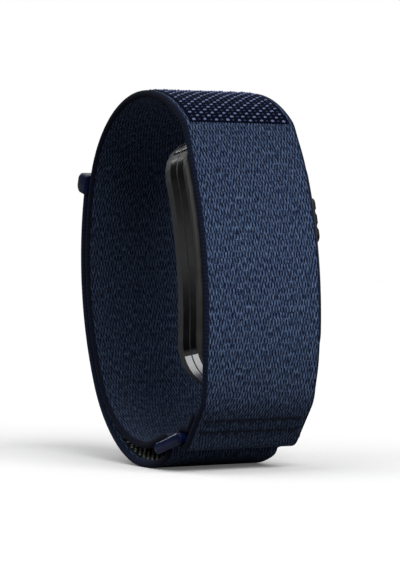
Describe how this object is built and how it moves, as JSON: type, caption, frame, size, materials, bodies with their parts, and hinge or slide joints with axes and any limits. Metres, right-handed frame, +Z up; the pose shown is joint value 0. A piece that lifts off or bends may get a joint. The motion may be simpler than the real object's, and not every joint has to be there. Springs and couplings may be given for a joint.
{
  "type": "fitness tracker band",
  "caption": "Closed screenless fitness tracker band: a knitted loop strap with a hook and loop tail, a double-bar buckle and a curved sensor pod in a snap cradle on the inner side.",
  "frame": {"origin": "middle of the bounding box at the level of the foot that the ring stands on", "axes": "+Z up the standing ring; +X across the strap, towards the edge that carries the side button; +Y from the pod wall to the closure wall"},
  "size_m": [0.0258, 0.0474, 0.0661],
  "materials": {
    "knit": "heathered flat knit with smooth selvedges",
    "pile": "loop pile in staggered dots",
    "hooks": "moulded hooks in staggered dots",
    "thread": "twisted sewing thread",
    "navy_metal": "smooth gloss paint",
    "navy_plastic": "smooth gloss moulding",
    "cradle_black": "fine matt",
    "case_black": "fine matt",
    "band_black": "mirror gloss",
    "silver": "satin",
    "cover_grey": "fine matt",
    "seal_rubber": "matt",
    "steel": "brushed",
    "window_glass": "tinted, polished",
    "barrier_black": "matt",
    "led_lens": "clear moulding",
    "sensor_dark": "polished",
    "bright_metal": "polished",
    "gold_metal": "plated",
    "board_green": "solder mask",
    "chip_black": "matt",
    "antenna_ceramic": "matt",
    "cell_foil": "satin foil",
    "pad_foam": "foam",
    "button_black": "satin gloss"
  },
  "bodies": {
    "strap": {"strap_band": "knit", "loop_pile": "pile", "hook_tape_base": "hooks", "seam_stitching": "thread", "cradle_plate": "cradle_black"},
    "tail": {"tail_strap": "knit", "hook_tape_tail": "hooks", "end_tab": "navy_plastic"},
    "buckle": {"buckle_loop": "navy_metal"},
    "pod": {"outer_shell": "case_black", "outer_side_bands": "band_black", "inner_side_bands": "band_black", "top_end_inlays": "silver", "bottom_end_inlays": "silver", "case_seal": "seal_rubber", "inner_shell": "case_black", "case_screws": "steel", "skin_side_cover": "cover_grey", "sensor_window": "window_glass", "light_barrier": "barrier_black", "leds": "led_lens", "photodiodes": "sensor_dark", "temperature_contact": "bright_metal", "charging_contacts": "gold_metal", "main_board": "board_green", "shield_can": "steel", "processor": "chip_black", "antenna": "antenna_ceramic", "battery": "cell_foil", "battery_pad": "pad_foam", "battery_lead": "gold_metal", "motor_can": "steel", "button_switch": "chip_black", "button_seal": "seal_rubber"},
    "button": {"side_button": "button_black", "button_clip": "steel"},
    "rotor": {"motor_rotor": "steel"}
  },
  "joints": [
    {"name": "tail_peel", "type": "hinge", "parent": "strap", "child": "tail", "pos_m": [-0.00065, 0.01791, 0.01458], "axis": [-1, 0, 0], "range_deg": [0, 70]},
    {"name": "buckle_swing", "type": "hinge", "parent": "strap", "child": "buckle", "pos_m": [-0.00065, -0.01495, 0.00608], "axis": [1, 0, 0], "range_deg": [-2, 2]},
    {"name": "pod_unclip", "type": "slide", "parent": "strap", "child": "pod", "axis": [0, 0.9885, -0.1513], "range_m": [0, 0.012]},
    {"name": "button_press", "type": "slide", "parent": "pod", "child": "button", "axis": [-1, 0, 0], "range_m": [0, 0.0004], "stiffness_N_per_m": 400},
    {"name": "rotor_spin", "type": "hinge", "parent": "pod", "child": "rotor", "pos_m": [-0.00065, -0.01967, 0.02511], "axis": [0, 0.9996, 0.0269], "continuous": true}
  ]
}
